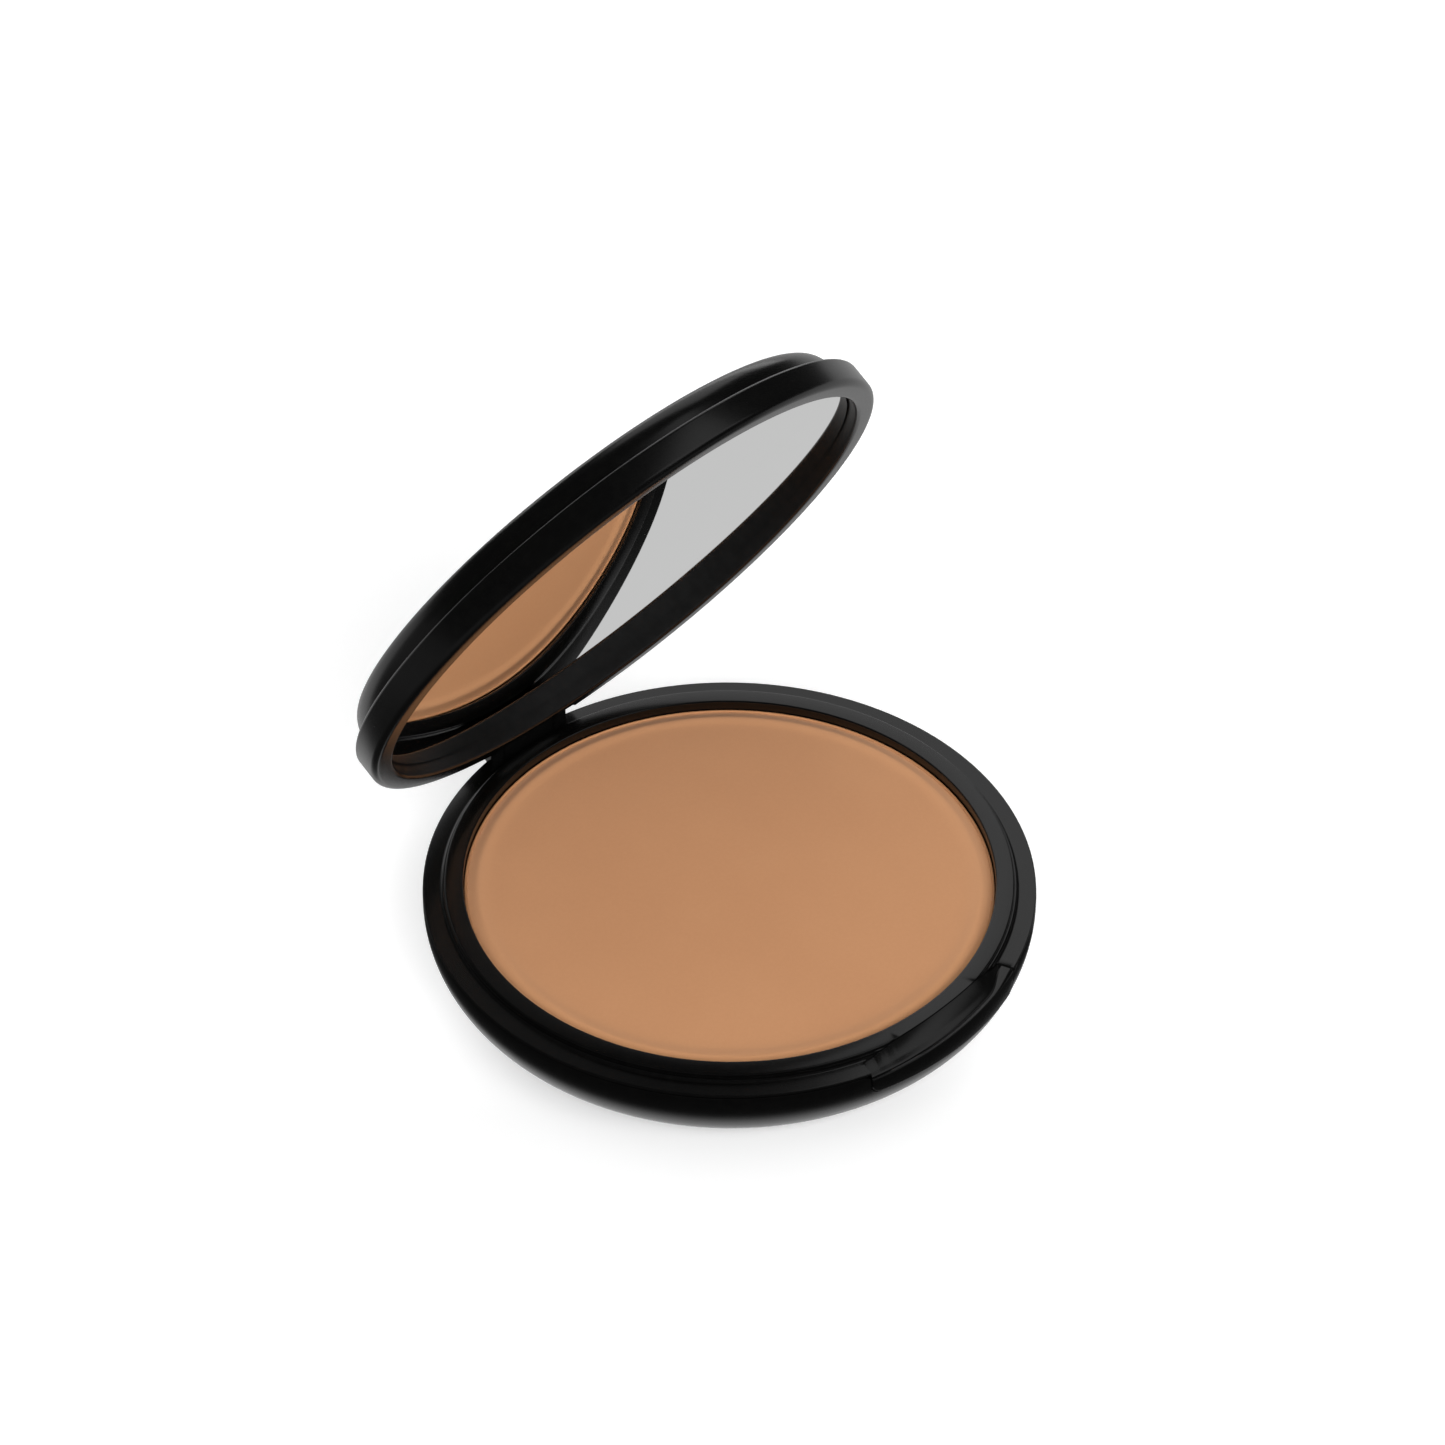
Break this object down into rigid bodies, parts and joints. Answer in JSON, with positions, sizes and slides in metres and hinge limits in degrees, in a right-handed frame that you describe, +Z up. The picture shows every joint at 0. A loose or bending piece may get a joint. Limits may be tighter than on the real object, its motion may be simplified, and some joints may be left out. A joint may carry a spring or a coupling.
{
  "type": "powder compact",
  "caption": "Round pressed-powder compact standing open: hinged lid with a mirror, collared base with a thumb notch, and a powder pan.",
  "frame": {"origin": "centre of the round base on the surface it stands on", "axes": "+Z up; +Y from the thumb notch towards the hinge; +X along the hinge axis. Stored with the lid open 62.7 degrees."},
  "size_m": [0.0696, 0.0715, 0.0745],
  "materials": {
    "case_plastic": "black, satin to semi-gloss moulded",
    "powder": "tan pressed powder, matte",
    "pan_tinplate": "bright drawn tinplate",
    "pin_steel": "drawn wire",
    "mirror": "flat back-silvered glass",
    "foam_tape": "white foam mounting tape",
    "glue": "amber hot-melt glue",
    "label": "plain blank label"
  },
  "bodies": {
    "base": {"base_frame": "case_plastic", "base_bowl": "case_plastic", "powder_pan": "pan_tinplate", "pressed_powder": "powder", "pan_glue": "glue", "base_label": "label", "hinge_pin": "pin_steel"},
    "lid": {"lid_ring": "case_plastic", "lid_cover": "case_plastic", "mirror_frame": "case_plastic", "mirror_glass": "mirror", "mirror_tape": "foam_tape"}
  },
  "joints": [
    {"name": "lid_hinge", "type": "hinge", "parent": "base", "child": "lid", "pos_m": [0, 0.0346, 0.01252], "axis": [-1, 0, 0], "range_deg": [-62.7, 47.3]}
  ]
}
